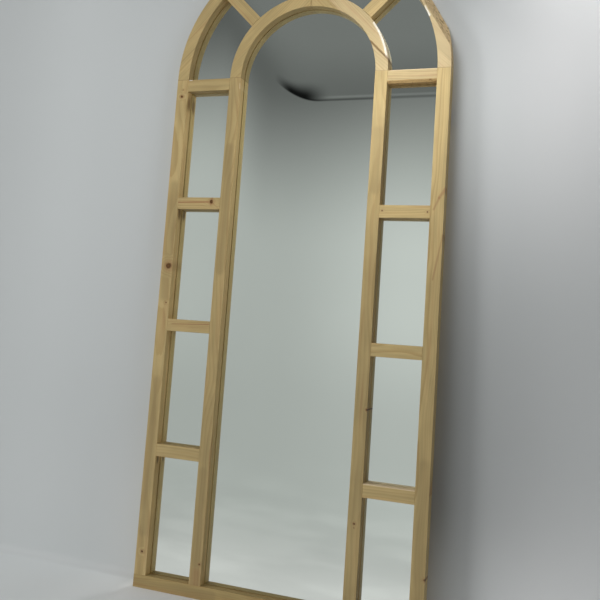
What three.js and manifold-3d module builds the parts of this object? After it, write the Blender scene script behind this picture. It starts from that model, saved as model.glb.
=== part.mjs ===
// Arched window mirror: a pine frame with a lattice of glazing bars over one arched mirror.
// Units are millimetres. +X is the viewer's right, +Y runs from the room into the wall, +Z is up.
// The origin is on the floor, under the middle of the bottom rail, half way through its depth.
import * as THREE from "three";
import { mergeVertices } from "three/addons/utils/BufferGeometryUtils.js";
import Module from "manifold-3d";

const wasm = await Module();
wasm.setup();

// Outer frame
const overallWidth = 800;
const springHeight = 1434; // floor to the line where both arches start
const frameDepth = 35;
const frameBarWidth = 36; // face width of the outer stiles and the outer arch
const bottomRailHeight = 34;
const rebateWidth = 12; // step cut behind the glass opening, all the way round
const arrisEase = 0.8; // small flat sanded on the long front edges

// Lattice of inner bars, in front of the mirror
const latticeDepth = 25;
const centreOpeningWidth = 394;
const innerBarWidth = 34.5; // face width of the inner stiles and the inner arch
const springRailHeight = 34.5;
const crossbarHeight = 34;
const leftCrossbarHeights = [355, 703, 1052]; // floor to the underside of each left crossbar
const rightCrossbarHeights = [323.5, 676.5, 1036]; // the right ones sit lower, as in the photograph
const radialBarWidth = 35;
const radialBarLean = 45; // degrees from upright

// Mirror and backing
const mirrorThickness = 4;
const backingThickness = 3;
const sheetClearance = 2; // between the sheets' edges and the sides of the rebate

// Joints: stub tenons on the bars, dowels between the arch quarters and the stiles
const tenonLength = 10;
const tenonThickness = 9;
const tenonWidth = 20;
const jointClearance = 0.3;
const jointEndClearance = 1;
const dowelDiameter = 8;
const dowelLength = 30;

// Board faults of the right-hand arches
const seamInset = 11; // how far the inner arch's straight glue seam cuts inside its opening
const seamAngle = 45; // degrees above the spring line, square to the seam
const seamStep = 1.5; // how far the main board stands in front of its two corner pieces
const waneFaceLeft = 6; // face width left beside the outer arch's waney edge, at its narrowest
const waneBackLoss = 10; // what the waney edge takes off the back of the arch, at its deepest
const waneAngle = 30.5; // degrees above the spring line, square to the waney edge
const railWaneHeight = 5; // waney lower arris of the right spring rail
const railWaneDepth = 7;

// Spring steel tabs that hold the backing board in the rebate
const tabWidth = 9;
const tabLength = 15;
const tabThickness = 0.6;
const tabBite = 7; // how much of a tab is pushed into the wood
const sideTabCount = 3; // up each stile, evenly spaced
const bottomTabOffset = 190; // from the middle of the bottom rail
const archTabAngles = [40, 75]; // degrees above the spring line

// Strap hangers with a free D ring, on the backs of the outer stiles
const hangerDrop = 104; // spring line down to the ring's pivot
const strapWidth = 12;
const strapThickness = 1.2;
const strapLength = 40;
const strapCurlEnd = 250; // degrees that the curl has turned through when it stops
const ringWire = 3;
const ringWidth = 19; // between the wire's centre lines
const ringArm = 6; // pivot to the start of the ring's half round
const ringCorner = 3;
const ringClearance = 0.3;
const screwDistances = [22, 34]; // from the pivot down to each screw
const screwShank = 3.5;
const screwLength = 16;
const screwHeadWidth = 6.6;
const screwHeadHeight = 1.8;
const screwHeadRim = 0.9; // height of the head's straight side
const screwHeadFlat = 4.8; // width of the flat on top of the head
const screwTipLength = 3.5;
const recessLength = 4; // of each slot of the cross recess
const recessWidth = 1;
const recessDepth = 1.1;

// Facets
const circleFacets = 128; // a whole turn of an arch
const smallFacets = 16;
const ringFacets = 44;
const wireFacets = 8;

const halfWidth = overallWidth / 2;
const openingRadius = halfWidth - frameBarWidth; // inside of the outer stiles and arch
const frontY = -frameDepth / 2;
const backY = frameDepth / 2;
const mirrorY = frontY + latticeDepth;
const backingY = mirrorY + mirrorThickness;
const tabY = backingY + backingThickness;
const tenonY = (frontY + mirrorY) / 2;
const innerBarInside = centreOpeningWidth / 2;
const innerBarOutside = innerBarInside + innerBarWidth;
const innerBarMiddle = innerBarInside + innerBarWidth / 2;
const frameBarMiddle = openingRadius + frameBarWidth / 2;
const rebateRadius = openingRadius + rebateWidth;
const seamDistance = innerBarInside - seamInset;
const hangerHeight = springHeight - hangerDrop;
const far = 2 * (overallWidth + springHeight); // larger than the object, for cutting tools

const pine = { color: 0xd9bd8b, roughness: 0.62, metalness: 0 };
const beech = { color: 0xc9a577, roughness: 0.7, metalness: 0 };
const hardboard = { color: 0x8a6242, roughness: 0.85, metalness: 0 };
const silvered = { color: 0xd6dcda, roughness: 0.04, metalness: 1 };
const zinc = { color: 0xb4b6b4, roughness: 0.35, metalness: 1 };

const mirrorObject = new THREE.Group();

// ---- Solids and meshes ----

// A closed three.js geometry as a solid, turned right side out if its faces point inwards.
function solid(geometry) {
  const bare = geometry.clone();
  bare.deleteAttribute("normal");
  bare.deleteAttribute("uv");
  const merged = mergeVertices(bare, 1e-4);
  const corners = new Uint32Array(merged.index.array);
  if (signedVolume(merged) < 0) {
    corners.reverse();
  }
  const vertProperties = new Float32Array(merged.attributes.position.array);
  return new wasm.Manifold(new wasm.Mesh({ numProp: 3, vertProperties, triVerts: corners }));
}

function signedVolume(geometry) {
  const position = geometry.attributes.position;
  const a = new THREE.Vector3();
  const b = new THREE.Vector3();
  const c = new THREE.Vector3();
  let volume = 0;
  for (let i = 0; i < geometry.index.count; i += 3) {
    a.fromBufferAttribute(position, geometry.index.getX(i));
    b.fromBufferAttribute(position, geometry.index.getX(i + 1));
    c.fromBufferAttribute(position, geometry.index.getX(i + 2));
    volume += a.dot(b.cross(c)) / 6;
  }
  return volume;
}

function addMesh(name, body, look) {
  const shape = body.getMesh();
  const geometry = new THREE.BufferGeometry();
  geometry.setAttribute("position", new THREE.BufferAttribute(shape.vertProperties, 3));
  geometry.setIndex(new THREE.BufferAttribute(shape.triVerts, 1));
  geometry.computeVertexNormals();
  const mesh = new THREE.Mesh(geometry, new THREE.MeshStandardMaterial(look));
  mesh.name = name;
  mirrorObject.add(mesh);
}

function outline(points) {
  return new THREE.Shape(points.map(([x, y]) => new THREE.Vector2(x, y)));
}

// A section drawn in X and Y, run upwards from the floor by a length.
function extrudeUp(shape, length) {
  return new THREE.ExtrudeGeometry(shape, { depth: length, bevelEnabled: false });
}

// A section drawn as height and Y, run along X between two places.
function extrudeAcross(shape, fromX, toX) {
  const along = extrudeUp(shape, toX - fromX);
  return along.rotateY(-Math.PI / 2).translate(toX, 0, 0);
}

function box(fromX, toX, fromY, toY, fromZ, toZ) {
  const block = new THREE.BoxGeometry(toX - fromX, toY - fromY, toZ - fromZ);
  return block.translate((fromX + toX) / 2, (fromY + toY) / 2, (fromZ + toZ) / 2);
}

// A round rod between two heights, facing up until it is turned.
function rod(diameter, fromZ, toZ, facets = smallFacets) {
  const bar = new THREE.CylinderGeometry(diameter / 2, diameter / 2, toZ - fromZ, facets);
  return bar.rotateX(Math.PI / 2).translate(0, 0, (fromZ + toZ) / 2);
}

// A disc through the whole depth, centred where the arches are centred.
function archDisc(radius) {
  const disc = new THREE.CylinderGeometry(radius, radius, far, circleFacets);
  return disc.translate(0, 0, springHeight);
}

// ---- Sections ----

// A frame bar's section: its outer side at 0, its inner side with the rebate at its width.
function frameSection(width) {
  return [
    [0, backY],
    [0, frontY + arrisEase],
    [arrisEase, frontY],
    [width - arrisEase, frontY],
    [width, frontY + arrisEase],
    [width, mirrorY],
    [width - rebateWidth, mirrorY],
    [width - rebateWidth, backY],
  ];
}

// A lattice bar's section, from 0 to its width.
function latticeSection(width) {
  return [
    [0, mirrorY],
    [0, frontY + arrisEase],
    [arrisEase, frontY],
    [width - arrisEase, frontY],
    [width, frontY + arrisEase],
    [width, mirrorY],
  ];
}

function shiftSection(points, offset, direction = 1) {
  return points.map(([u, y]) => [offset + direction * u, y]);
}

// A ring of the given section, drawn as radius and Y, round the arch centre.
function archRing(section) {
  const points = [...section, section[0]].map(([radius, y]) => new THREE.Vector2(radius, y));
  return new THREE.LatheGeometry(points, circleFacets).translate(0, 0, springHeight);
}

// One quarter of an arch ring, on the left (-1) or the right (1).
function archQuarter(section, side) {
  const fromX = side < 0 ? -far : 0;
  const toX = side < 0 ? 0 : far;
  const quadrant = box(fromX, toX, -far, far, springHeight, springHeight + far);
  return solid(archRing(section)).intersect(solid(quadrant));
}

// Everything beyond a slanted straight line in the arch. The line lies square to a direction at
// angle degrees above the spring line; frontDistance and backDistance place it on both faces.
function beyondLine(angle, frontDistance, backDistance) {
  const rise = (backDistance - frontDistance) / frameDepth;
  const wedge = outline([
    [frontDistance - rise * frameDepth, frontY - frameDepth],
    [far, frontY - frameDepth],
    [far, backY + frameDepth],
    [backDistance + rise * frameDepth, backY + frameDepth],
  ]);
  const cutter = extrudeUp(wedge, 2 * far).translate(0, 0, -far);
  return solid(cutter.rotateY(-THREE.MathUtils.degToRad(angle)).translate(0, 0, springHeight));
}

// ---- Joint parts ----

// A stub tenon on a bar's end, pointing up from height 0; a mortise is the same with clearance.
function tenonBlock(clearance, endClearance) {
  const halfTenon = tenonWidth / 2 + clearance;
  const halfThick = tenonThickness / 2 + clearance;
  const top = tenonLength + endClearance;
  return box(-halfTenon, halfTenon, tenonY - halfThick, tenonY + halfThick, -tenonLength, top);
}

// Turns an upright joint part so that it points along a direction in the X-Z plane, then places it.
function placeJoint(geometry, direction, x, z) {
  const turn = Math.atan2(direction[0], direction[1]);
  return solid(geometry.rotateY(turn).translate(x, 0, z));
}

const tenons = [];

// A tenon at (x, z) that points along direction, from one bar into another.
function addTenon(fromBar, intoBar, direction, x, z) {
  tenons.push({ fromBar, intoBar, direction, x, z });
}

const dowels = [];

// A dowel centred at (x, z) across the joint between two bars.
function addDowel(name, bars, direction, x, z) {
  dowels.push({ name, bars, direction, x, z });
}

// ---- Bars ----

const bars = {};
const sides = { left: -1, right: 1 };
const crossbarHeights = { left: leftCrossbarHeights, right: rightCrossbarHeights };
const crossbarLevels = ["lower", "middle", "upper"];

function makeFrameBars() {
  // The rail's section starts at the floor; its rebate faces up, towards the mirror.
  const rail = outline(frameSection(bottomRailHeight));
  bars.bottom_rail = solid(extrudeAcross(rail, -halfWidth, halfWidth));
  for (const [side, sign] of Object.entries(sides)) {
    const stileLength = springHeight - bottomRailHeight;
    const stile = outline(shiftSection(frameSection(frameBarWidth), sign * halfWidth, -sign));
    const stileBody = extrudeUp(stile, stileLength).translate(0, 0, bottomRailHeight);
    const stileName = "outer_stile_" + side;
    bars[stileName] = solid(stileBody);
    addTenon(stileName, "bottom_rail", [0, -1], sign * frameBarMiddle, bottomRailHeight);

    const ring = shiftSection(frameSection(frameBarWidth), halfWidth, -1);
    const archName = "outer_arch_" + side;
    bars[archName] = archQuarter(ring, sign);
    const joint = "dowel_outer_springing_" + side;
    addDowel(joint, [stileName, archName], [0, 1], sign * frameBarMiddle, springHeight);
  }
  const crown = springHeight + frameBarMiddle;
  addDowel("dowel_outer_crown", ["outer_arch_left", "outer_arch_right"], [1, 0], 0, crown);
}

function makeInnerStilesAndArch() {
  for (const [side, sign] of Object.entries(sides)) {
    const start = sign > 0 ? innerBarInside : -innerBarOutside;
    const stile = outline(shiftSection(latticeSection(innerBarWidth), start));
    const stileLength = springHeight - bottomRailHeight;
    const stileBody = extrudeUp(stile, stileLength).translate(0, 0, bottomRailHeight);
    const stileName = "inner_stile_" + side;
    bars[stileName] = solid(stileBody);
    addTenon(stileName, "bottom_rail", [0, -1], sign * innerBarMiddle, bottomRailHeight);
  }
  const ring = shiftSection(latticeSection(innerBarWidth), innerBarInside);
  bars.inner_arch_left = archQuarter(ring, -1);
  makeSeamedArch(ring);

  const x = innerBarMiddle;
  const crown = springHeight + innerBarMiddle;
  const left = ["inner_stile_left", "inner_arch_left"];
  const right = ["inner_stile_right", "inner_arch_right_foot", "inner_arch_right"];
  addDowel("dowel_inner_springing_left", left, [0, 1], -x, springHeight);
  addDowel("dowel_inner_springing_right", right, [0, 1], x, springHeight);
  const crownBars = ["inner_arch_left", "inner_arch_right_crown", "inner_arch_right"];
  addDowel("dowel_inner_crown", crownBars, [1, 0], 0, crown);
}

// The right inner arch is glued up: a main board and two corner pieces, set back a little.
function makeSeamedArch(ring) {
  const whole = archQuarter(ring, 1);
  const mainSide = beyondLine(seamAngle, seamDistance, seamDistance);
  const cornerCut = seamDistance - jointClearance;
  const cornersOnly = whole.subtract(beyondLine(seamAngle, cornerCut, cornerCut));
  const setBack = solid(box(-far, far, frontY - far, frontY + seamStep, -far, far));
  const corners = cornersOnly.subtract(setBack);
  const halfWay = springHeight + innerBarMiddle * Math.sin(THREE.MathUtils.degToRad(seamAngle));
  const below = solid(box(-far, far, -far, far, -far, halfWay));
  bars.inner_arch_right = whole.intersect(mainSide);
  bars.inner_arch_right_foot = corners.intersect(below);
  bars.inner_arch_right_crown = corners.subtract(below);
}

// A bar across a side bay, between an inner stile and an outer stile.
function makeBayBar(name, side, section, bottom, height) {
  const sign = sides[side];
  const fromX = sign > 0 ? innerBarOutside : -openingRadius;
  const toX = sign > 0 ? openingRadius : -innerBarOutside;
  const shape = outline(shiftSection(section, bottom));
  bars[name] = solid(extrudeAcross(shape, fromX, toX));
  const middle = bottom + height / 2;
  addTenon(name, "inner_stile_" + side, [-sign, 0], sign * innerBarOutside, middle);
  addTenon(name, "outer_stile_" + side, [sign, 0], sign * openingRadius, middle);
}

function makeBayBars() {
  for (const side of Object.keys(sides)) {
    crossbarHeights[side].forEach((bottom, i) => {
      const name = "crossbar_" + side + "_" + crossbarLevels[i];
      makeBayBar(name, side, latticeSection(crossbarHeight), bottom, crossbarHeight);
    });
    const railBottom = springHeight - springRailHeight;
    const section = latticeSection(springRailHeight);
    makeBayBar("spring_rail_" + side, side, section, railBottom, springRailHeight);
  }
  bars.spring_rail_right = bars.spring_rail_right.subtract(railWane());
}

// The waney lower front edge of the right spring rail, as a slanted cutting block.
function railWane() {
  const railBottom = springHeight - springRailHeight;
  const wane = outline([
    [railBottom + railWaneHeight, frontY],
    [railBottom, frontY + railWaneDepth],
    [railBottom - railWaneHeight, frontY + railWaneDepth],
    [railBottom - railWaneHeight, frontY - railWaneDepth],
    [railBottom + railWaneHeight, frontY - railWaneDepth],
  ]);
  return solid(extrudeAcross(wane, innerBarOutside, openingRadius));
}

// The two bars of the fan, coped to the inner arch at one end and to the outer arch at the other.
function makeRadialBars() {
  const section = outline(shiftSection(latticeSection(radialBarWidth), -radialBarWidth / 2));
  const innerEnd = innerBarOutside + jointClearance;
  const outerEnd = openingRadius - jointClearance;
  for (const [side, sign] of Object.entries(sides)) {
    const name = "radial_bar_" + side;
    const lean = sign * THREE.MathUtils.degToRad(radialBarLean);
    const direction = [Math.sin(lean), Math.cos(lean)];
    const blank = extrudeUp(section, halfWidth).rotateY(lean).translate(0, 0, springHeight);
    const coped = solid(blank).subtract(solid(archDisc(innerEnd)));
    bars[name] = coped.intersect(solid(archDisc(outerEnd)));
    for (const [arch, radius, way] of [
      ["inner_arch_" + side, innerEnd, -1],
      ["outer_arch_" + side, outerEnd, 1],
    ]) {
      const x = radius * direction[0];
      const z = springHeight + radius * direction[1];
      addTenon(name, arch, [way * direction[0], way * direction[1]], x, z);
    }
  }
}

// ---- Joining ----

function cutJoints() {
  for (const { fromBar, intoBar, direction, x, z } of tenons) {
    const tenon = placeJoint(tenonBlock(0, 0), direction, x, z);
    const mortise = placeJoint(tenonBlock(jointClearance, jointEndClearance), direction, x, z);
    bars[fromBar] = bars[fromBar].add(tenon);
    bars[intoBar] = bars[intoBar].subtract(mortise);
  }
  for (const { name, bars: joined, direction, x, z } of dowels) {
    const half = dowelLength / 2;
    const deep = half + jointEndClearance;
    const pin = rod(dowelDiameter, -half, half).translate(0, tenonY, 0);
    const hole = rod(dowelDiameter + 2 * jointClearance, -deep, deep).translate(0, tenonY, 0);
    const holeBody = placeJoint(hole, direction, x, z);
    for (const bar of joined) {
      bars[bar] = bars[bar].subtract(holeBody);
    }
    addMesh(name, placeJoint(pin, direction, x, z), beech);
  }
}

// ---- Mirror and backing ----

// The arched outline of both sheets, inside the rebate by the sheet clearance; they stand on it.
function sheetShape() {
  const edge = rebateRadius - sheetClearance;
  const shape = new THREE.Shape();
  shape.moveTo(-edge, bottomRailHeight - rebateWidth);
  shape.lineTo(edge, bottomRailHeight - rebateWidth);
  shape.lineTo(edge, springHeight);
  shape.absarc(0, springHeight, edge, 0, Math.PI, false);
  return shape;
}

function addSheet(name, fromY, thickness, look) {
  const curveSegments = circleFacets / 2;
  const settings = { depth: thickness, bevelEnabled: false, curveSegments };
  const sheet = new THREE.ExtrudeGeometry(sheetShape(), settings);
  addMesh(name, solid(sheet.rotateX(Math.PI / 2).translate(0, fromY + thickness, 0)), look);
}

// A tab half way into the wood; direction is the way it points, from the backing into the frame.
function addTab(name, bar, direction, x, z) {
  const blade = (grow) => {
    const halfBlade = tabWidth / 2 + grow;
    const inWood = tabBite + grow;
    const overBoard = tabBite - tabLength;
    return box(-halfBlade, halfBlade, tabY - grow, tabY + tabThickness + grow, overBoard, inWood);
  };
  bars[bar] = bars[bar].subtract(placeJoint(blade(jointClearance), direction, x, z));
  addMesh(name, placeJoint(blade(0), direction, x, z), zinc);
}

function addTabs() {
  for (const [side, sign] of Object.entries(sides)) {
    const spacing = (springHeight - bottomRailHeight) / sideTabCount;
    for (let i = 0; i < sideTabCount; i += 1) {
      const height = bottomRailHeight + (i + 0.5) * spacing;
      const name = "backing_tab_" + side + "_" + (i + 1);
      addTab(name, "outer_stile_" + side, [sign, 0], sign * rebateRadius, height);
    }
    const floorOfRebate = bottomRailHeight - rebateWidth;
    const bottomName = "backing_tab_bottom_" + side;
    addTab(bottomName, "bottom_rail", [0, -1], sign * bottomTabOffset, floorOfRebate);
    archTabAngles.forEach((angle, i) => {
      const radians = THREE.MathUtils.degToRad(angle);
      const across = sign * Math.cos(radians);
      const up = Math.sin(radians);
      const name = "backing_tab_arch_" + side + "_" + (i + 1);
      const z = springHeight + rebateRadius * up;
      addTab(name, "outer_arch_" + side, [across, up], rebateRadius * across, z);
    });
  }
}

// ---- Hangers ----

// The strap's side view, as Y and height from the pivot: a flat plate that curls round the wire.
function strapShape() {
  const inside = ringWire / 2 + ringClearance;
  const outside = inside + strapThickness;
  const curlEnd = THREE.MathUtils.degToRad(180 - strapCurlEnd);
  const shape = new THREE.Shape();
  shape.moveTo(-outside, -strapLength);
  shape.lineTo(-outside, 0);
  shape.absarc(0, 0, outside, Math.PI, curlEnd, true);
  shape.absarc(0, 0, inside, curlEnd, Math.PI, false);
  shape.lineTo(-inside, -strapLength);
  return shape;
}

const pivotY = backY + ringWire / 2 + ringClearance + strapThickness;
const strapFace = backY + strapThickness;

function strapBody() {
  const settings = { depth: strapWidth, bevelEnabled: false, curveSegments: smallFacets };
  const strap = new THREE.ExtrudeGeometry(strapShape(), settings).translate(0, 0, -strapWidth / 2);
  const sideOn = new THREE.Matrix4().makeBasis(
    new THREE.Vector3(0, 1, 0),
    new THREE.Vector3(0, 0, 1),
    new THREE.Vector3(1, 0, 0),
  );
  return solid(strap.applyMatrix4(sideOn).translate(0, pivotY, 0));
}

// The ring at rest, hanging below its pivot: a straight bar, two corners, two arms and a half round.
function ringPath() {
  const half = ringWidth / 2;
  const path = new THREE.CurvePath();
  const line = (x0, z0, x1, z1) => {
    path.add(new THREE.LineCurve3(new THREE.Vector3(x0, 0, z0), new THREE.Vector3(x1, 0, z1)));
  };
  const bend = (x0, z0, cornerX, cornerZ, x1, z1) => {
    const start = new THREE.Vector3(x0, 0, z0);
    const corner = new THREE.Vector3(cornerX, 0, cornerZ);
    const end = new THREE.Vector3(x1, 0, z1);
    path.add(new THREE.QuadraticBezierCurve3(start, corner, end));
  };
  line(0, 0, half - ringCorner, 0);
  bend(half - ringCorner, 0, half, 0, half, -ringCorner);
  line(half, -ringCorner, half, -ringArm);
  path.add(new HalfRound(half, -ringArm));
  line(-half, -ringArm, -half, -ringCorner);
  bend(-half, -ringCorner, -half, 0, -half + ringCorner, 0);
  line(-half + ringCorner, 0, 0, 0);
  return path;
}

// A half circle below a height, from +X round to -X.
class HalfRound extends THREE.Curve {
  constructor(radius, height) {
    super();
    this.radius = radius;
    this.height = height;
  }

  getPoint(t) {
    const turn = Math.PI * t;
    const x = this.radius * Math.cos(turn);
    return new THREE.Vector3(x, 0, this.height - this.radius * Math.sin(turn));
  }
}

// A pan head screw that points to -Y, its head on the strap and its cross recess facing out.
function screwBody() {
  const profile = [
    [0, -screwLength],
    [screwShank / 2, screwTipLength - screwLength],
    [screwShank / 2, 0],
    [screwHeadWidth / 2, 0],
    [screwHeadWidth / 2, screwHeadRim],
    [screwHeadFlat / 2, screwHeadHeight],
    [0, screwHeadHeight],
  ];
  const points = profile.map(([radius, y]) => new THREE.Vector2(radius, y));
  const screw = solid(new THREE.LatheGeometry(points, smallFacets));
  const arm = recessLength / 2;
  const half = recessWidth / 2;
  const floor = screwHeadHeight - recessDepth;
  const slotAcross = solid(box(-arm, arm, floor, far, -half, half));
  const slotUp = solid(box(-half, half, floor, far, -arm, arm));
  return screw.subtract(slotAcross).subtract(slotUp);
}

// A screw's hole, through the strap and into the stile, from the stile's back.
function screwHole() {
  const depth = screwLength + jointEndClearance;
  const hole = rod(screwShank + 2 * jointClearance, -depth, strapThickness + jointEndClearance);
  return solid(hole.rotateX(-Math.PI / 2));
}

function addHangers() {
  const stileBackMiddle = halfWidth - (frameBarWidth - rebateWidth) / 2;
  for (const [side, sign] of Object.entries(sides)) {
    const x = sign * stileBackMiddle;
    const stile = "outer_stile_" + side;
    let strap = strapBody().translate([x, 0, hangerHeight]);
    screwDistances.forEach((distance, i) => {
      const z = hangerHeight - distance;
      const hole = screwHole().translate([x, backY, z]);
      strap = strap.subtract(hole);
      bars[stile] = bars[stile].subtract(hole);
      const name = "hanger_screw_" + side + "_" + ["upper", "lower"][i];
      addMesh(name, screwBody().translate([x, strapFace, z]), zinc);
    });
    addMesh("hanger_strap_" + side, strap, zinc);
    const ring = new THREE.TubeGeometry(ringPath(), ringFacets, ringWire / 2, wireFacets, true);
    const ringBody = solid(ring.translate(x, pivotY, hangerHeight));
    addMesh("hanger_ring_" + side, ringBody, zinc);
  }
}

// ---- Assembly ----

makeFrameBars();
makeInnerStilesAndArch();
makeBayBars();
makeRadialBars();
bars.outer_arch_right = bars.outer_arch_right.subtract(
  beyondLine(waneAngle, openingRadius + waneFaceLeft, halfWidth - waneBackLoss),
);
cutJoints();
addTabs();
addHangers();
for (const [name, body] of Object.entries(bars)) {
  addMesh(name, body, pine);
}
addSheet("mirror_sheet", mirrorY, mirrorThickness, silvered);
addSheet("backing_board", backingY, backingThickness, hardboard);

export default mirrorObject;
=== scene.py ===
"""An arched window mirror: a lattice frame of planed pine over one sheet of mirror glass,
on a pale studio sweep."""

import math

import bmesh
import bpy
from mathutils import Matrix, Vector, noise


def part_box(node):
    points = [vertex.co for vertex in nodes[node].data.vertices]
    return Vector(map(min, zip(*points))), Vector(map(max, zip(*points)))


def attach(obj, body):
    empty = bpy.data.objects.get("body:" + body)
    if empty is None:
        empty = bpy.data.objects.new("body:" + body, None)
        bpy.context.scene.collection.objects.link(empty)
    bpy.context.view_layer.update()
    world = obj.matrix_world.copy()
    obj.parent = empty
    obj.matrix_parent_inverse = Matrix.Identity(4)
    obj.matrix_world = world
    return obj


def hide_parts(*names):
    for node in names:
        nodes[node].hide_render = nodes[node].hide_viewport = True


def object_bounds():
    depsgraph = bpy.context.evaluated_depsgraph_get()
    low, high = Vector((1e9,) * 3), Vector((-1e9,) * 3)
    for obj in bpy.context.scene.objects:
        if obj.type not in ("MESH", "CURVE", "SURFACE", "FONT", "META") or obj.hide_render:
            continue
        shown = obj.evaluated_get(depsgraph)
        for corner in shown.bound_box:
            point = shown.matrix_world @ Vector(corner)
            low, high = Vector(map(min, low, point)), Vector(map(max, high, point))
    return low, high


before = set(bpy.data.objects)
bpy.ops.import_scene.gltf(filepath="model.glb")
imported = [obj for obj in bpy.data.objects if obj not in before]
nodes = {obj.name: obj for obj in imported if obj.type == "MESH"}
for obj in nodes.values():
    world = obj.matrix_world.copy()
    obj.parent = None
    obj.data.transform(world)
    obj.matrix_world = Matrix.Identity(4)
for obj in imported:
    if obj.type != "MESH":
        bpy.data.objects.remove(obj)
cad_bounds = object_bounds()

MM = 0.001


# ---------------------------------------------------------------- places taken from the CAD frame

FRONT_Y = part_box("bottom_rail")[0].y
TOP = cad_bounds[1].z
SPRING_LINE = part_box("outer_stile_left")[1].z / MM  # in mm, as the wood's marks are placed
GLASS_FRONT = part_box("mirror_sheet")[0].y / MM  # in mm too


# ---------------------------------------------------------------- camera

CAMERA_PLACE = (0.7320, -1.9683, 0.7268)
CAMERA_HEADING = math.radians(20.08)
CAMERA_RISE = math.radians(6.056)
CAMERA_ROLL = math.radians(4.045)
PICTURE = 600
LENS_PIXELS = 775.6
AXIS_ROW = 249


def make_camera():
    data = bpy.data.cameras.new("camera")
    data.sensor_width = 36
    data.lens = LENS_PIXELS / PICTURE * data.sensor_width
    data.shift_y = (AXIS_ROW - PICTURE / 2) / PICTURE
    camera = bpy.data.objects.new("camera", data)
    bpy.context.scene.collection.objects.link(camera)
    camera.matrix_world = (
        Matrix.Translation(CAMERA_PLACE)
        @ Matrix.Rotation(CAMERA_HEADING, 4, "Z")
        @ Matrix.Rotation(math.radians(90) + CAMERA_RISE, 4, "X")
        @ Matrix.Rotation(CAMERA_ROLL, 4, "Z")
    )
    bpy.context.scene.camera = camera


# ---------------------------------------------------------------- shader building

def srgb(red, green, blue):
    """A colour given as a screen shows it, 0 to 255, as the linear colour that a shader takes."""
    def linear(value):
        value /= 255
        return value / 12.92 if value <= 0.04045 else ((value + 0.055) / 1.055) ** 2.4
    return linear(red), linear(green), linear(blue)


class Shader:
    """A node tree with one short method for each kind of node that the materials use.
    An input can be a number, a vector, a colour or another node's socket."""

    def __init__(self, tree):
        self.tree = tree

    def plug(self, socket, value):
        if isinstance(value, bpy.types.NodeSocket):
            self.tree.links.new(value, socket)
        elif socket.type == "RGBA":
            socket.default_value = (*value, 1)
        else:
            socket.default_value = value

    def node(self, kind, inputs, output=0, **settings):
        made = self.tree.nodes.new(kind)
        for key, value in settings.items():
            setattr(made, key, value)
        for key, value in inputs.items():
            self.plug(made.inputs[key], value)
        return made.outputs[output]

    def math(self, operation, a, b=0.0, c=0.0):
        return self.node("ShaderNodeMath", {0: a, 1: b, 2: c}, operation=operation)

    def add(self, a, b):
        return self.math("ADD", a, b)

    def times(self, a, b):
        return self.math("MULTIPLY", a, b)

    def vector(self, operation, a, b=(0, 0, 0)):
        output = "Value" if operation in ("LENGTH", "DOT_PRODUCT") else "Vector"
        return self.node("ShaderNodeVectorMath", {0: a, 1: b}, output, operation=operation)

    def combine(self, x, y, z):
        return self.node("ShaderNodeCombineXYZ", {0: x, 1: y, 2: z})

    def split(self, vector):
        first = self.node("ShaderNodeSeparateXYZ", {0: vector})
        return first.node.outputs

    def ease(self, value, low, high, start=0.0, end=1.0):
        """start up to low, end from high on, and a smooth change between them."""
        inputs = {"Value": value, "From Min": low, "From Max": high, "To Min": start, "To Max": end}
        return self.node("ShaderNodeMapRange", inputs, interpolation_type="SMOOTHSTEP")

    def noise(self, vector, detail=2.0, roughness=0.5):
        """Soft noise, about 0.5 on average, whose lumps are as wide as one unit of the vector."""
        inputs = {"Vector": vector, "Scale": 1.0, "Detail": detail, "Roughness": roughness}
        return self.node("ShaderNodeTexNoise", inputs, "Fac")

    def mix(self, amount, a, b, blend="MIX"):
        made = self.tree.nodes.new("ShaderNodeMix")
        made.data_type = "RGBA"
        made.blend_type = blend
        for key, value in {0: amount, 6: a, 7: b}.items():
            self.plug(made.inputs[key], value)
        return made.outputs[2]

    def bump(self, height, depth):
        return self.node("ShaderNodeBump", {"Height": height, "Distance": depth, "Strength": 1.0})


def new_material(name):
    material = bpy.data.materials.new(name)
    material.use_nodes = True
    return material, Shader(material.node_tree), material.node_tree.nodes["Principled BSDF"]


def dress(shader, surface, **inputs):
    """Plugs values into the surface shader, by its inputs' names in small letters."""
    names = {socket.name.lower().replace(" ", "_"): socket for socket in surface.inputs}
    for key, value in inputs.items():
        shader.plug(names[key], value)


# ---------------------------------------------------------------- pine

EARLY_WOOD = srgb(190, 168, 118)
LATE_WOOD = srgb(158, 126, 76)
# Dark fibres; also the colour of the wide darker streaks on the stiles and bottom rail, partly the wood's
# own darker patches and partly painted shade.
DARK_FIBRE_AND_SHADE = srgb(146, 126, 86)
KNOT_HEART = srgb(120, 78, 36)
KNOT_RIM = srgb(76, 48, 22)
RED_STREAK = srgb(158, 112, 74)
STAIN = srgb(108, 74, 38)
ARCH_BARK = srgb(214, 188, 144), srgb(122, 98, 56)
RAIL_BARK = srgb(196, 164, 112), srgb(142, 108, 66)
# A dark glue line; along the right inner arch's seam it is widened into painted shade.
GLUE_LINE_AND_SEAM_SHADE = srgb(122, 92, 54)
# A white for a pale chipped spot, also laid as painted highlights and a painted glint on the right arches.
CHIP_AND_HIGHLIGHT_WHITE = srgb(244, 240, 228)
# Painted highlight: a pale colour laid on edges and top faces where light catches them.
PAINTED_EDGE_HIGHLIGHT = srgb(236, 214, 176)
STAIN_STRENGTH = 0.7
RING_WANDER = 46.0  # mm, the widest slow bend of the growth rings
RING_WAVER = 4.5  # mm, their widest short bend
GRAIN_RELIEF = 0.12 * MM
BARK_RELIEF = 5.0  # times the grain's
GLASS_GLOW = 0.22


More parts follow.
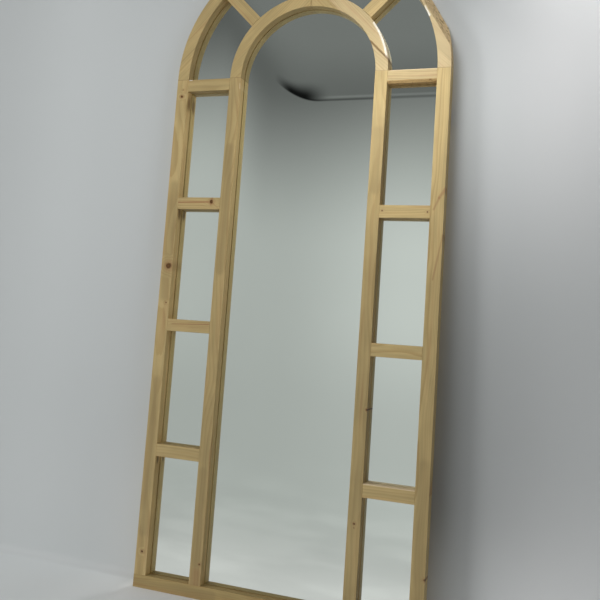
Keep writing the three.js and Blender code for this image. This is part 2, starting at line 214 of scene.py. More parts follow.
def in_millimetres(shader, scale=1.0):
    """The place of the shaded point, in mm, or in units of scale mm."""
    place = shader.vector("SCALE", shader.node("ShaderNodeTexCoord", {}, "Object"))
    place.node.inputs["Scale"].default_value = 1 / (MM * scale)
    return place


def stretched(shader, parts, across, depth, along, seed, detail=2.0, roughness=0.5):
    """Noise with lumps of parts[0] mm across the grain, as deep as wide, and parts[1] mm along it."""
    wide, long = parts
    place = shader.combine(shader.times(across, 1 / wide), shader.add(shader.times(depth, 1 / wide), seed),
                           shader.times(along, 1 / long))
    return shader.noise(place, detail, roughness)


def distance_to_line(shader, place, start, end):
    """Distance in mm from the straight stretch between two points (x, z), seen from the front."""
    run = Vector((end[0] - start[0], 0, end[1] - start[1]))
    flat = shader.vector("MULTIPLY", shader.vector("SUBTRACT", place, (start[0], 0, start[1])), (1, 0, 1))
    share = shader.vector("DOT_PRODUCT", flat, run / run.length_squared)
    share = shader.math("MAXIMUM", shader.math("MINIMUM", share, 1.0), 0.0)
    nearest = shader.node("ShaderNodeVectorMath", {0: run, "Scale": share}, "Vector", operation="SCALE")
    return shader.vector("LENGTH", shader.vector("SUBTRACT", flat, nearest))


def pine(name, grain=0, pith=(45, 30), spacing=5.0, tone=1.0, colour=1.0, seed=0.0,
         knots=(), streaks=(), stains=(), painted_side_light=1.0, bark=None):
    """Planed pine as a solid block of growth rings, so that every face and end shows its true section.
    grain is the grain's angle from upright, in degrees. pith is where the tree's centre lies, in mm:
    its place across the grain, and its depth behind the frame's middle. spacing is the width of a ring
    in mm, tone scales the brightness and colour the saturation.
    knots are (x, z, radius, strength) and stains (x, y, z, radius), in mm. streaks are (start, end,
    half width, strength), with a colour behind them where it isn't RED_STREAK.
    painted_side_light scales the brightness of the faces that look right, a painted highlight for light
    from the right, and bark is (direction, light colour, dark colour) of a face left as the tree grew.
    The faces that lie on the glass shine a little, for the light that real glass carries to them."""
    material, shader, surface = new_material(name)
    place = in_millimetres(shader)
    lean = math.radians(grain)
    across_way = (math.cos(lean), 0, -math.sin(lean))
    along_way = (math.sin(lean), 0, math.cos(lean))
    across = shader.vector("DOT_PRODUCT", place, across_way)
    along = shader.vector("DOT_PRODUCT", place, along_way)
    depth = shader.split(place)[1]
    parts = (across, depth, along, seed)

    wander = stretched(shader, (160, 420), *parts, 1.5)
    waver = stretched(shader, (22, 150), *parts)
    centre = shader.combine(shader.add(across, -pith[0]), shader.add(depth, -pith[1]), 0.0)
    radius = shader.vector("LENGTH", centre)
    bend = shader.add(shader.times(wander, RING_WANDER), shader.times(waver, RING_WAVER))
    radius = shader.add(radius, bend)

    marks = []
    for start, end, half_width, strength, *shade in streaks:
        wobble = 0.0 if shade else half_width * 3
        sway = shader.times(shader.add(waver, -0.5), wobble)
        away = shader.add(distance_to_line(shader, place, start, end), sway)
        amount = shader.ease(away, half_width * 0.3, half_width * 1.5, strength, 0.0)
        marks.append((amount, *(shade or [RED_STREAK])))
    for x, z, size, strength in knots:
        offset = shader.vector("SUBTRACT", place, (x, 0, z))
        off_across = shader.vector("DOT_PRODUCT", offset, across_way)
        off_along = shader.times(shader.vector("DOT_PRODUCT", offset, along_way), 1.1)
        away = shader.vector("LENGTH", shader.combine(off_across, off_along, 0.0))
        lumps = shader.noise(shader.vector("MULTIPLY", offset, (0.35, 0.06, 0.35)))
        ragged = shader.add(away, shader.times(shader.add(lumps, -0.5), size * 1.1))
        swell = shader.ease(away, size * 0.6, size * 4.5, size * 1.9, 0.0)
        radius = shader.add(radius, shader.times(swell, shader.math("SIGN", off_across)))
        heart = shader.ease(ragged, size * 0.55, size * 1.15, 0.95 * strength, 0.0)
        rim = shader.times(heart, shader.ease(ragged, size * 0.15, size * 0.75, 0.55, 0.95))
        halo = shader.ease(away, size * 0.9, size * 2.8, 0.45 * strength, 0.0)
        marks += [(halo, RED_STREAK), (heart, KNOT_HEART), (rim, KNOT_RIM)]
    for x, y, z, size in stains:
        offset = shader.vector("MULTIPLY", shader.vector("SUBTRACT", place, (x, y, z)), (1, 1, 0.45))
        away = shader.add(shader.vector("LENGTH", offset), shader.times(shader.add(waver, -0.5), size))
        marks.append((shader.ease(away, size * 0.3, size, STAIN_STRENGTH, 0.0), STAIN))

    rings = shader.times(radius, 1 / spacing)
    phase = shader.math("FRACT", rings)
    year = shader.noise(shader.combine(shader.math("FLOOR", rings), seed, 0.0), 0.0)
    late = shader.times(shader.ease(phase, 0.25, 0.90), shader.ease(phase, 0.93, 1.0, 1.0, 0.0))
    late = shader.times(late, shader.ease(year, 0.30, 0.70, 0.30, 1.0))
    fibres = stretched(shader, (0.6, 50), *parts, 3.0, 0.6)
    bands = stretched(shader, (13, 260), *parts)
    cloud = stretched(shader, (45, 120), *parts)

    color = shader.mix(shader.times(late, 0.50), EARLY_WOOD, LATE_WOOD)
    color = shader.mix(shader.ease(fibres, 0.52, 0.75, 0.0, 0.22), color, DARK_FIBRE_AND_SHADE)
    color = shader.mix(shader.ease(bands, 0.52, 0.80, 0.0, 0.38), color, RED_STREAK)
    value = shader.ease(bands, 0.25, 0.62, 0.90, 1.06)
    value = shader.times(value, shader.ease(cloud, 0.30, 0.70, 0.93, 1.07))
    value = shader.times(value, tone)
    # Painted light: the faces that look right are made brighter, for light from the right.
    if painted_side_light != 1.0:
        facing = shader.split(shader.node("ShaderNodeNewGeometry", {}, "Normal"))[0]
        value = shader.times(value, shader.ease(facing, 0.6, 0.8, 1.0, painted_side_light))
    color = shader.node("ShaderNodeHueSaturation", {"Color": color, "Saturation": colour, "Value": value})
    for amount, shade in marks:
        color = shader.mix(amount, color, shade)
    roughness = shader.add(shader.ease(fibres, 0.3, 0.7, 0.50, 0.62), shader.times(late, -0.07))
    relief = shader.add(shader.times(fibres, 0.6), shader.times(late, 0.35))
    if bark:
        way, pale, dark = bark
        facing = shader.vector("DOT_PRODUCT", shader.node("ShaderNodeNewGeometry", {}, "Normal"), way)
        lumps = stretched(shader, (5, 11), *parts, 4.0, 0.65)
        rough_side = shader.ease(facing, 0.62, 0.82)
        shade = shader.mix(shader.ease(lumps, 0.50, 0.66), pale, dark)
        color = shader.mix(rough_side, color, shade)
        roughness = shader.add(roughness, shader.times(rough_side, 0.25))
        relief = shader.add(relief, shader.times(shader.times(rough_side, lumps), BARK_RELIEF))
    dress(shader, surface, base_color=color, roughness=roughness, specular_ior_level=0.4,
          normal=shader.bump(relief, GRAIN_RELIEF))
    # Painted light: a faint glow of late-wood colour on the faces that lie on the glass.
    on_glass = shader.times(shader.ease(depth, GLASS_FRONT - 0.3, GLASS_FRONT - 0.1),
                            shader.ease(depth, GLASS_FRONT + 0.1, GLASS_FRONT + 0.3, 1.0, 0.0))
    dress(shader, surface, emission_color=LATE_WOOD, emission_strength=shader.times(on_glass, GLASS_GLOW))
    material.cycles.emission_sampling = "NONE"
    return material


# ---------------------------------------------------------------- other materials

def speckled(name, color, speck, scale, amount, roughness, metallic=0.0, relief=0.0):
    """A material of one colour with finer specks of another; scale is the specks' size in mm."""
    material, shader, surface = new_material(name)
    place = in_millimetres(shader, scale)
    fine = shader.noise(place, 4.0, 0.65)
    broad = shader.noise(shader.vector("MULTIPLY", place, (0.07, 0.07, 0.07)), 2.0)
    shade = shader.mix(shader.ease(fine, 0.42, 0.68, 0.0, amount), color, speck)
    shade = shader.mix(shader.ease(broad, 0.35, 0.70, 0.0, amount * 0.5), shade, speck)
    rough = shader.ease(fine, 0.3, 0.7, roughness - 0.06, roughness + 0.08)
    dress(shader, surface, base_color=shade, roughness=rough, metallic=metallic)
    if relief:
        dress(shader, surface, normal=shader.bump(fine, relief))
    return material


GLASS_TINT = (0.975, 0.99, 0.97)
SILVER_TINT = (0.915, 0.945, 0.895)
PAINT_THICKNESS = 0.1 * MM


def mirror_glass():
    material, shader, surface = new_material("mirror_glass")
    dress(shader, surface, base_color=GLASS_TINT, roughness=0.0, ior=1.52, transmission_weight=1.0)
    return material


def silvering():
    material, shader, surface = new_material("silvering")
    cloud = shader.noise(in_millimetres(shader, 330), 2.0)
    darker = tuple(0.985 * part for part in SILVER_TINT)
    color = shader.mix(shader.ease(cloud, 0.35, 0.65), SILVER_TINT, darker)
    dress(shader, surface, base_color=color, roughness=0.0, metallic=1.0)
    return material


# ---------------------------------------------------------------- finishing of CAD nodes

WELD_DISTANCE = 0.002 * MM
FLAT_ANGLE = math.radians(0.6)
ARRIS_ANGLE = math.radians(28)
WOOD_ARRIS = 0.5 * MM


def new_group(name):
    """A node group that takes a mesh and gives one, with its source socket and its result node."""
    group = bpy.data.node_groups.new(name, "GeometryNodeTree")
    for way in ("INPUT", "OUTPUT"):
        group.interface.new_socket("Geometry", in_out=way, socket_type="NodeSocketGeometry")
    source = group.nodes.new("NodeGroupInput").outputs[0]
    result = group.nodes.new("NodeGroupOutput")
    return group, source, result


def make_weld_group():
    """Joins the facets' corners, takes the stored normals off and shades smooth, apart from sharp edges."""
    group, source, result = new_group("weld")
    weld = group.nodes.new("GeometryNodeMergeByDistance")
    weld.inputs["Distance"].default_value = WELD_DISTANCE
    clear = group.nodes.new("GeometryNodeSetMeshNormal")
    clear.mode = "SHARPNESS"
    clear.inputs["Remove Custom"].default_value = True
    group.links.new(source, weld.inputs[0])
    group.links.new(weld.outputs[0], clear.inputs[0])
    group.links.new(clear.outputs[0], result.inputs[0])
    return group


def make_silver_group(silver, middle_y):
    """Gives the back of the mirror sheet its silvering, set in by the thickness of its paint."""
    group, source, result = new_group("silver_back")
    shader = Shader(group)
    facing = shader.split(shader.node("GeometryNodeInputNormal", {}))[1]
    depth = shader.split(shader.node("GeometryNodeInputPosition", {}))[1]
    silvered = shader.node("GeometryNodeSetMaterial", {
        "Geometry": source,
        "Selection": shader.math("GREATER_THAN", facing, 0.9),
        "Material": silver,
    })
    inset = shader.node("GeometryNodeSetPosition", {
        "Geometry": silvered,
        "Selection": shader.math("GREATER_THAN", depth, middle_y),
        "Offset": (0, -PAINT_THICKNESS, 0),
    })
    group.links.new(inset, result.inputs[0])
    return group


def ease_edges(piece, width):
    """Rounds the arrises a little, and keeps the flats flat."""
    if width:
        bevel = piece.modifiers.new("arris", "BEVEL")
        bevel.width = width
        bevel.segments = 2
        bevel.limit_method = "ANGLE"
        bevel.angle_limit = ARRIS_ANGLE
    normals = piece.modifiers.new("normals", "WEIGHTED_NORMAL")
    normals.weight = 60


def soften(piece, width, weld_group):
    """Joins up the facets of a CAD node and eases its edges."""
    weld = piece.modifiers.new("weld", "NODES")
    weld.node_group = weld_group
    flats = piece.modifiers.new("flats", "DECIMATE")
    flats.decimate_type = "DISSOLVE"
    flats.angle_limit = FLAT_ANGLE
    ease_edges(piece, width)


# ---------------------------------------------------------------- faces left as the tree grew

ARCH_WANE_WAY = Vector((0.748, -0.496, 0.441))
RAIL_WANE_WAY = Vector((0.0, -0.58, -0.81))
WANE_STEP = 2.5 * MM
SAME_WAY = 0.99
EDGE_REACH = 0.05 * MM


def faces_towards(form, way):
    form.normal_update()
    return [face for face in form.faces if face.normal.dot(way) > SAME_WAY]


def cut_strips(form, outward, way):
    """Cuts the faces that look outward into strips, square to another direction."""
    reach = [corner.co.dot(way) for face in faces_towards(form, outward) for corner in face.verts]
    place = min(reach) + WANE_STEP
    while place < max(reach) - 0.3 * WANE_STEP:
        faces = faces_towards(form, outward)
        edges = {edge for face in faces for edge in face.edges}
        corners = {corner for face in faces for corner in face.verts}
        bmesh.ops.bisect_plane(form, geom=[*faces, *edges, *corners], plane_co=way * place, plane_no=way)
        place += WANE_STEP


def grown_face(name, outward, depth, edge_sway, lumps):
    """A copy of a wood node whose face in one direction has the uneven surface that lay under the bark.
    depth is how far its hollows go in, edge_sway how far its front edge wanders, and lumps their width."""
    form = bmesh.new()
    form.from_mesh(nodes[name].data)
    bmesh.ops.remove_doubles(form, verts=form.verts, dist=WELD_DISTANCE)
    bmesh.ops.dissolve_limit(form, angle_limit=FLAT_ANGLE, verts=form.verts, edges=form.edges)
    length_way = outward.cross(Vector((0, 1, 0))).normalized()
    cut_strips(form, outward, length_way)
    cut_strips(form, outward, outward.cross(length_way).normalized())
    grown = set(faces_towards(form, outward))
    corners = {corner for face in grown for corner in face.verts}
    inner = {corner for corner in corners if grown.issuperset(corner.link_faces)}
    front_edge = {corner for corner in corners if corner.co.y < FRONT_Y + EDGE_REACH}
    slide = (outward - Vector((0, outward.y, 0))).normalized()
    for corner in inner:
        swell = noise.noise(corner.co / lumps) + 0.5 * noise.noise(corner.co * 3 / lumps)
        corner.co -= outward * depth * (0.5 + 0.5 * swell)
    for corner in front_edge:
        corner.co -= slide * edge_sway * (0.5 + 0.5 * noise.noise(corner.co / lumps))
    mesh = bpy.data.meshes.new(name + "_grown")
    form.to_mesh(mesh)
    form.free()
    mesh.shade_smooth()
    piece = bpy.data.objects.new(name + "_grown", mesh)
    bpy.context.scene.collection.objects.link(piece)
    mesh.materials.append(nodes[name].material_slots[0].material)
    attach(piece, "mirror_frame")
    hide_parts(name)
    ease_edges(piece, WOOD_ARRIS)


# ---------------------------------------------------------------- stage, lamps and surroundings

WALL_LEAN = math.radians(0.9)
WALL_HEIGHT = 4.5
STAGE_HALF_WIDTH = 6.0
FLOOR_FRONT = -5.0
FLOOR_BACK = 5.0
COVE_RADIUS = 0.025
COVE_STEPS = 12
FLOOR_DROP = 0.001
PAPER = srgb(204, 208, 208)
PAPER_WHITE = srgb(249, 250, 250)
PAPER_CLOUDS = 1.3  # to the metre


def add_mesh(name, corners, faces, material):
    mesh = bpy.data.meshes.new(name)
    mesh.from_pydata(corners, [], faces)
    mesh.materials.append(material)
    thing = bpy.data.objects.new(name, mesh)
    bpy.context.scene.collection.objects.link(thing)
    return thing


def sweep_profile():
    """(y, z) along the paper sweep: the floor, a small cove behind the frame's foot,
    and the wall it leans on."""
    contact = cad_bounds[1].y
    foot = contact + TOP * math.tan(WALL_LEAN)
    turn = math.radians(90) + WALL_LEAN
    tangent = COVE_RADIUS * math.tan(turn / 2)
    centre = (foot - tangent, COVE_RADIUS)
    points = [(FLOOR_FRONT, 0.0)]
    for step in range(COVE_STEPS + 1):
        angle = turn * step / COVE_STEPS
        points.append((centre[0] + COVE_RADIUS * math.sin(angle), centre[1] - COVE_RADIUS * math.cos(angle)))
    points.append((foot - WALL_HEIGHT * math.tan(WALL_LEAN), WALL_HEIGHT))
    return points


def paper(name):
    """Pale paper, with painted light (lighter zones) and painted shade (darker zones, corner) in broad zones
    round the frame.
    The camera sees through its back, lamps behind it shine through it, and in front of the frame
    it is left out of reflections, where the room shows instead."""
    material, shader, surface = new_material(name)
    ground = shader.node("ShaderNodeTexCoord", {}, "Object")
    place = shader.vector("SCALE", ground)
    place.node.inputs["Scale"].default_value = PAPER_CLOUDS
    cloud = shader.noise(place, 1.0)
    color = shader.mix(cloud, tuple(0.97 * part for part in PAPER), tuple(1.03 * part for part in PAPER))
    x, y, z = shader.split(ground)[:3]
    # Painted light: the wall lighter to the upper right and low on the right and left of the frame, and the
    # floor by the frame's foot lit where the frame's shadow would fall.
    painted_light_right = shader.add(shader.ease(z, 0.75, 1.5, 0.20, 1.0), shader.ease(z, 0.0, 0.5, 0.6, 0.0))
    painted_light_right = shader.times(shader.ease(x, 0.38, 0.70), painted_light_right)
    painted_light_left = shader.times(shader.ease(x, -0.62, -0.46, 0.06, 0.16), shader.ease(z, 0.15, 0.5, 1.0, 0.0))
    painted_light_left = shader.times(painted_light_left, shader.ease(x, -0.42, -0.38, 1.0, 0.0))
    painted_light_foot = shader.times(shader.ease(x, -0.47, -0.38, 0.0, 0.6), shader.ease(z, 0.001, 0.01, 1.0, 0.0))
    painted_light = shader.math("MAXIMUM", shader.math("MAXIMUM", painted_light_right, painted_light_left), painted_light_foot)
    color = shader.mix(painted_light, color, PAPER_WHITE)
    # Painted shadow: darker to the right of the frame, strongest beside its edge and in its lower half.
    shade = shader.add(shader.ease(x, 0.41, 0.48, 0.22, 0.0), shader.ease(x, 0.48, 0.85, 0.25, 0.03))
    beside_frame = shader.times(shader.ease(x, 0.30, 0.40), shader.ease(z, 0.05, 0.35, 0.1, 1.0))
    shade = shader.times(shade, beside_frame)
    shade = shader.times(shade, shader.ease(z, 0.5, 1.2, 1.0, 0.3))
    # Painted shade: darker towards the far left corner.
    corner = shader.times(shader.ease(x, -1.15, -0.75, 0.17, 0.0), shader.ease(z, 0.0, 1.3, 0.6, 1.0))
    color = shader.mix(shader.add(shade, corner), color, (0, 0, 0))
    dress(shader, surface, base_color=color, roughness=0.8, specular_ior_level=0.2)
    back = shader.node("ShaderNodeNewGeometry", {}, "Backfacing")
    rays = shader.node("ShaderNodeLightPath", {}).node.outputs
    mirrored = shader.math("MAXIMUM", rays["Is Glossy Ray"], rays["Is Transmission Ray"])
    in_front = shader.math("LESS_THAN", y, FRONT_Y)
    open_way = shader.math("MAXIMUM", shader.times(back, rays["Is Camera Ray"]), rays["Is Shadow Ray"])
    open_way = shader.math("MAXIMUM", open_way, shader.times(in_front, mirrored))
    clear = shader.node("ShaderNodeBsdfTransparent", {})
    blend = shader.node("ShaderNodeMixShader", {0: open_way, 1: surface.outputs[0], 2: clear})
    shader.plug(material.node_tree.nodes["Material Output"].inputs["Surface"], blend)
    return material


def make_stage():
    profile = sweep_profile()
    corners = [(side * STAGE_HALF_WIDTH, y, z) for y, z in profile for side in (-1, 1)]
    faces = [(2 * i, 2 * i + 1, 2 * i + 3, 2 * i + 2) for i in range(len(profile) - 1)]
    sweep = add_mesh("sweep", corners, faces, paper("sweep_paper"))
    for face in sweep.data.polygons:
        face.use_smooth = True
    x = STAGE_HALF_WIDTH
    outline = ((-x, FLOOR_FRONT), (x, FLOOR_FRONT), (x, FLOOR_BACK), (-x, FLOOR_BACK))
    corners = [(*corner, -FLOOR_DROP) for corner in outline]
    floor = add_mesh("floor", corners, [(0, 1, 2, 3)], paper("floor_paper"))


def make_lamp(name, place, target, size, power):
    """A round white lamp, which neither the camera nor the mirror sees."""
    data = bpy.data.lights.new(name, "AREA")
    data.shape = "DISK"
    data.size = size
    data.energy = power
    lamp = bpy.data.objects.new(name, data)
    lamp.location = place
    lamp.rotation_euler = (Vector(target) - Vector(place)).to_track_quat("-Z", "Y").to_euler()
    lamp.visible_glossy = False
    lamp.visible_transmission = False
    lamp.visible_camera = False
    bpy.context.scene.collection.objects.link(lamp)
    return lamp


FRAME_MIDDLE = (0.1, 0, 1.0)
AMBIENT = 0.285
BACKGROUND = 0.80
ROOM_TINT = (0.957, 1.0, 1.0)
FLOOR_TINT = (0.99, 1.0, 1.015)
CEILING_EDGE = 0.324  # how high it lies, for each unit ahead
CEILING_BEND = 6.5
DRIFT_SEED = 4.7
SMUDGE_STRENGTH = 0.95
ROOM_GAIN = 1.10
WALL_LAMP_SPREAD = math.radians(75)


def make_world():
    """The room around the frame. The mirror shows it: a pale wall, a darker ceiling, and the curved edge
    between them. side and rise say how far a direction goes sideways and up for each unit ahead."""
    world = bpy.data.worlds.new("room")
    world.use_nodes = True
    shader = Shader(world.node_tree)
    way = shader.split(shader.node("ShaderNodeTexCoord", {}, "Generated"))
    ahead = shader.math("MAXIMUM", shader.times(way[1], -1.0), 0.05)
    side = shader.math("DIVIDE", way[0], ahead)
    rise = shader.math("DIVIDE", way[2], ahead)

    beyond = shader.math("MAXIMUM", shader.add(shader.times(side, -1.0), -0.35), 0.0)
    edge = shader.add(CEILING_EDGE, shader.times(shader.times(beyond, beyond), CEILING_BEND))
    over = shader.math("SUBTRACT", rise, edge)
    ceiling = shader.ease(over, 0.0, 0.09, 0.125, 0.168)
    corner = shader.ease(side, -0.51, -0.42, 0.09, 0.0)
    height = shader.math("SUBTRACT", rise, corner)
    plateau = shader.ease(side, -0.40, -0.20, 0.41, 0.555)
    plateau = shader.add(plateau, shader.ease(side, -0.53, -0.44, 0.03, 0.0))
    climb = shader.ease(height, 0.10, 0.40, 1.0, 0.20)
    wall = shader.times(plateau, climb)
    foot = shader.ease(rise, -0.34, -0.275, 0.115, 0.0)
    foot = shader.add(foot, shader.ease(rise, -0.28, -0.15, 0.045, 0.0))
    low = shader.add(shader.ease(side, -0.40, -0.20, 0.385, 0.44), foot)
    drift_place = shader.combine(shader.times(side, 7.0), shader.times(rise, 34.0), DRIFT_SEED)
    drift = shader.ease(shader.noise(drift_place, 2.0), 0.35, 0.65, -0.06, 0.06)
    drift = shader.times(drift, shader.ease(rise, -0.26, -0.16, 1.0, 0.0))
    low = shader.times(low, shader.add(drift, 1.0))
    wall = shader.node("ShaderNodeMix", {0: shader.ease(rise, -0.12, 0.04), 2: low, 3: wall})
    blur = shader.ease(side, -0.43, -0.36, 0.05, 0.001)
    above = shader.ease(over, shader.times(blur, -1.0), blur)
    level = shader.node("ShaderNodeMix", {0: above, 2: wall, 3: ceiling})
    along_edge = shader.ease(side, -0.37, -0.32)
    pale_line = shader.times(shader.ease(over, 0.0015, 0.003), shader.ease(over, 0.004, 0.0065, 1.0, 0.0))
    dark_line = shader.times(shader.ease(over, -0.0025, -0.001), shader.ease(over, 0.0, 0.0015, 1.0, 0.0))
    level = shader.add(level, shader.times(along_edge, shader.times(pale_line, 0.05)))
    depth = shader.times(shader.ease(side, -0.40, -0.36), shader.ease(side, -0.30, -0.22, 0.5, 0.3))
    dark_line = shader.times(dark_line, depth)
    level = shader.times(level, shader.math("SUBTRACT", 1.0, dark_line))
    smudge_height = shader.ease(side, -0.41, -0.36, 0.016, 0.028)
    smudge = shader.math("SUBTRACT", 1.0, shader.math("DIVIDE", over, smudge_height))
    smudge = shader.times(shader.ease(smudge, 0.0, 0.9), shader.ease(over, -0.003, 0.0))
    extent = shader.times(shader.ease(side, -0.425, -0.395), shader.ease(side, -0.375, -0.335, 1.0, 0.0))
    smudge = shader.times(smudge, extent)
    level = shader.times(level, shader.add(1.0, shader.times(smudge, -SMUDGE_STRENGTH)))
    level = shader.times(level, ROOM_GAIN)
    front = shader.ease(way[1], -0.25, 0.05, 1.0, 0.0)
    level = shader.node("ShaderNodeMix", {0: front, 2: AMBIENT, 3: level})

    rays = shader.node("ShaderNodeLightPath", {}).node.outputs
    seen = shader.math("MAXIMUM", rays["Is Glossy Ray"], rays["Is Transmission Ray"])
    ambient = shader.ease(way[0], -0.9, 0.9, 1.35 * AMBIENT, 0.55 * AMBIENT)
    level = shader.node("ShaderNodeMix", {0: seen, 2: ambient, 3: level})
    tint = shader.mix(shader.ease(rise, -0.34, -0.20, 1.0, 0.0), ROOM_TINT, FLOOR_TINT)
    tint = shader.mix(seen, (1, 1, 1), tint)
    level = shader.node("ShaderNodeMix", {0: rays["Is Camera Ray"], 2: level, 3: BACKGROUND})
    background = world.node_tree.nodes["Background"]
    shader.plug(background.inputs["Color"], tint)
    shader.plug(background.inputs["Strength"], level)
    bpy.context.scene.world = world


# ---------------------------------------------------------------- dressing the part

JOINT_RISE = 0.3
RIM_INSET = 2


def spring_joint(sign, inside, outside):
    """The glue line of an arch on its stile, as a streak."""
    height = SPRING_LINE + JOINT_RISE
    return (sign * inside, height), (sign * outside, height), 1.1, 0.6, GLUE_LINE_AND_SEAM_SHADE


def painted_rim_highlight(degrees):
    """A painted highlight along the outer edge of the right inner arch, as a chain of pale streaks round the
    arch.
    """
    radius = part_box("inner_arch_left")[1].z / MM - SPRING_LINE - RIM_INSET
    angles = [math.radians(angle) for angle in degrees]
    places = [(radius * math.cos(angle), SPRING_LINE + radius * math.sin(angle)) for angle in angles]
    return tuple((start, end, 3.6, 0.65, CHIP_AND_HIGHLIGHT_WHITE) for start, end in zip(places, places[1:]))


# The seam of the right inner arch: a dark glue line, widened on both pieces into painted shade where the
# proud main board shades the foot.
SEAM = ((179, 1518), (232, 1465))
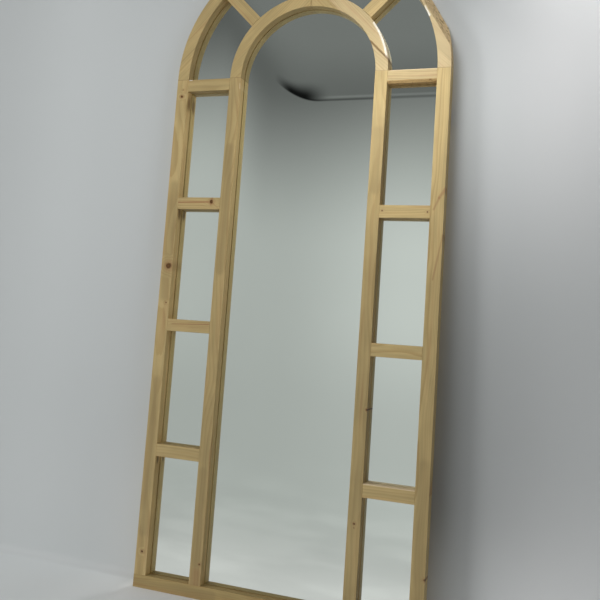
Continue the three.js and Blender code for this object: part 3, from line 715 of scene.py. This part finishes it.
# The wide streaks of dark fibre colour along the stiles and the bottom rail are partly the wood's own darker
# patches and partly painted shade.
BARS = {
    "bottom_rail": dict(grain=90, pith=(-60, 25), spacing=4.2, seed=1.7, tone=0.93, colour=1.05,
                        streaks=(((-420, 12), (-160, 16), 12, 0.4, DARK_FIBRE_AND_SHADE),)),
    "outer_stile_left": dict(pith=(-388, 62), spacing=5.4, seed=3.1, tone=1.06, painted_side_light=1.6,
                             knots=((-382, 1385, 4.0, 1.0), (-380, 1405, 1.8, 0.5), (-376.5, 887, 9.5, 0.9),
                                    (-374.5, 782, 2.6, 0.6), (-380.5, 96, 3.6, 1.0)),
                             streaks=(((-381, 800), (-381, 1120), 15, 0.4, DARK_FIBRE_AND_SHADE),
                                      ((-383, 150), (-383, 560), 15, 0.35, DARK_FIBRE_AND_SHADE)),
                             stains=((-362, -4, 1365, 16), (-362, -4, 1040, 11), (-362, -6, 345, 8))),
    "outer_stile_right": dict(pith=(360, -40), spacing=4.6, seed=5.3, tone=1.08,
                              knots=((399, 151, 3.2, 0.9),),
                              streaks=(((405, 1118), (386, 1090), 4.5, 0.55),
                                       ((386, 1090), (374, 1060), 4.0, 0.5),
                                       ((400, 994), (380, 880), 2.6, 0.45),
                                       ((402, 380), (401, 350), 2.6, 0.6),
                                       ((384, 40), (384, 420), 15, 0.35, DARK_FIBRE_AND_SHADE))),
    "inner_stile_left": dict(pith=(-180, 60), spacing=4.8, seed=7.9, tone=0.93, painted_side_light=1.65,
                             streaks=(((-214, 880), (-214, 1230), 13, 0.45, DARK_FIBRE_AND_SHADE),
                                      ((-214, 90), (-214, 330), 13, 0.35, DARK_FIBRE_AND_SHADE),
                                      ((-214, 0), (-212, 70), 11, 0.4),
                                      # painted highlight on the top of the stile's right arris
                                      ((-199, 1416), (-198.5, 1402), 1.5, 0.5, PAINTED_EDGE_HIGHLIGHT)),
                             knots=((-204, 90, 2.6, 1.0),)),
    "inner_stile_right": dict(pith=(255, 70), spacing=5.2, seed=9.2, tone=0.98,
                              streaks=(((216, 1110), (216, 1270), 13, 0.40, DARK_FIBRE_AND_SHADE),),
                              knots=((215, 257, 2.8, 0.9), (215, 247, 1.6, 0.5), (230, 541, 2.8, 1.0))),
    "spring_rail_left": dict(grain=90, pith=(-1400, 55), spacing=4.5, seed=11.4,
                             streaks=(((-361, 1433), (-353, 1433), 1.4, 0.8, CHIP_AND_HIGHLIGHT_WHITE),)),
    "spring_rail_right": dict(grain=90, pith=(-1455, 20), spacing=4.0, seed=13.8, tone=1.02, colour=0.93,
                              streaks=(((226, 1417), (372, 1415), 1.5, 0.5),
                                       # painted highlight along the rail's top edge
                                       ((240, 1433.5), (362, 1433.5), 1.6, 0.6, PAINTED_EDGE_HIGHLIGHT)),
                              bark=(RAIL_WANE_WAY, *RAIL_BARK)),
    "crossbar_left_lower": dict(grain=90, pith=(-320, 60), spacing=4.6, seed=15.1, tone=1.04),
    "crossbar_left_middle": dict(grain=90, pith=(-740, -30), spacing=4.2, seed=17.6, tone=1.05,
                                 streaks=(((-350, 723), (-236, 728), 1.4, 0.75),)),
    "crossbar_left_upper": dict(grain=90, pith=(-1010, 45), spacing=5.0, seed=19.3,
                                knots=((-258, 1074, 6.0, 1.0),),
                                streaks=(((-376, 1071), (-268, 1073), 2.2, 0.8),
                                         ((-256, 1085), (-259, 1064), 2.6, 0.6),
                                         ((-254, 1070), (-236, 1056), 2.0, 0.4))),
    "crossbar_right_lower": dict(grain=90, pith=(-280, 55), spacing=4.8, seed=21.0, tone=1.2,
                                 # painted light on the bar's top face, as if lit from above
                                 streaks=(((234, 357.5), (362, 357.5), 2.2, 0.95, PAINTED_EDGE_HIGHLIGHT),)),
    "crossbar_right_middle": dict(grain=90, pith=(-720, 65), spacing=4.4, seed=23.7, tone=1.2),
    "crossbar_right_upper": dict(grain=90, pith=(-990, 40), spacing=4.3, seed=25.2, tone=1.12,
                                 knots=((239, 1055, 2.2, 0.8), (358, 1053, 2.2, 0.8))),
    "outer_arch_left": dict(grain=45, pith=(-1260, 50), spacing=4.8, seed=27.5, tone=1.05,
                            streaks=(spring_joint(-1, 364, 400),)),
    "outer_arch_right": dict(grain=-45, pith=(1210, 60), spacing=4.8, seed=29.9, tone=1.14, colour=0.88,
                             streaks=(spring_joint(1, 364, 400),
                                      # painted glint near the arch's inner edge
                                      ((321, 1604), (335, 1580), 3.4, 0.9, CHIP_AND_HIGHLIGHT_WHITE)),
                             bark=(ARCH_WANE_WAY, *ARCH_BARK)),
    "inner_arch_left": dict(grain=45, pith=(-1120, 55), spacing=4.8, seed=31.3,
                            streaks=(spring_joint(-1, 197, 232),
                                     ((0, 1630), (0, 1666), 1.0, 0.5, GLUE_LINE_AND_SEAM_SHADE))),
    "inner_arch_right": dict(grain=-45, pith=(1100, 40), spacing=4.4, seed=33.8, tone=1.09, colour=0.90,
                             # painted light: brighter side faces and a painted highlight round the outer
                             # edge
                             painted_side_light=2.2,
                             streaks=(*painted_rim_highlight((36, 29, 22, 15, 8)), (*SEAM, 3.0, 0.7, GLUE_LINE_AND_SEAM_SHADE))),
    "inner_arch_right_foot": dict(grain=-45, pith=(1260, 60), spacing=5.2, seed=35.6, tone=1.08, colour=0.88,
                                  streaks=(spring_joint(1, 197, 232), (*SEAM, 3.4, 0.75, GLUE_LINE_AND_SEAM_SHADE))),
    "inner_arch_right_crown": dict(grain=-45, pith=(1240, 50), spacing=5.0, seed=37.4),
    "radial_bar_left": dict(grain=-45, pith=(840, 45), spacing=4.4, seed=39.1),
    "radial_bar_right": dict(grain=45, pith=(-840, 45), spacing=4.4, seed=41.8, tone=1.05),
}


def dress_frame():
    weld_group = make_weld_group()
    for name, wood in BARS.items():
        nodes[name].material_slots[0].material = pine("pine_" + name, **wood)
        soften(nodes[name], WOOD_ARRIS, weld_group)
    grown_face("outer_arch_right", ARCH_WANE_WAY, 1.8 * MM, 0.5 * MM, 14 * MM)
    grown_face("spring_rail_right", RAIL_WANE_WAY, 1.2 * MM, 2.2 * MM, 30 * MM)
    dowel_wood = pine("pine_dowels", pith=(20, 30), spacing=1.8, seed=50.2)
    steel = speckled("spring_steel", srgb(120, 122, 126), srgb(86, 84, 82), 0.6, 0.5, 0.38, 1.0)
    zinc = speckled("zinc_plate", srgb(196, 194, 184), srgb(150, 148, 142), 1.2, 0.6, 0.34, 1.0)
    board = speckled("hardboard", srgb(132, 98, 66), srgb(92, 64, 42), 0.9, 0.6, 0.66, 0.0, 0.05 * MM)
    # The material of each other slot, and the width of its pieces' arrises in mm.
    others = {
        "dowel_wood": (dowel_wood, 0.3),
        "spring_steel": (steel, 0.05),
        "zinc_plated_steel": (zinc, 0.15),
        "hardboard": (board, 0.3),
    }
    for name, node in nodes.items():
        slot = node.material_slots[0]
        if name in BARS or name == "mirror_sheet":
            continue
        material, width = others[slot.material.name.split(".")[0]]
        slot.material = material
        soften(node, width * MM, weld_group)
    mirror = nodes["mirror_sheet"]
    mirror.material_slots[0].material = mirror_glass()
    silver = mirror.modifiers.new("silver", "NODES")
    front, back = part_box("mirror_sheet")
    silver.node_group = make_silver_group(silvering(), (front.y + back.y) / 2)


make_camera()
dress_frame()
make_stage()
make_lamp("lamp_near_low", (0.20, -0.35, 1.35), FRAME_MIDDLE, 0.3, 0.85)
make_lamp("lamp_near_high", (0.20, -0.35, 1.75), FRAME_MIDDLE, 0.3, 0.76)
make_lamp("lamp_near_right", (0.32, -0.25, 1.55), FRAME_MIDDLE, 0.2, 0.47)
make_lamp("lamp_high_left", (-0.9, -0.9, 2.0), FRAME_MIDDLE, 0.5, 1.5)
make_lamp("lamp_left", (-3.0, -2.0, 1.2), FRAME_MIDDLE, 1.0, 50)
wall_lamp = make_lamp("lamp_wall", (0.85, -0.9, 2.3), (0.85, 0.05, 1.95), 0.3, 1.5)
wall_lamp.data.spread = WALL_LAMP_SPREAD
make_lamp("lamp_behind", (0.0, 1.6, 1.0), FRAME_MIDDLE, 0.6, 14)
make_world()
bpy.context.scene.view_settings.view_transform = "Standard"
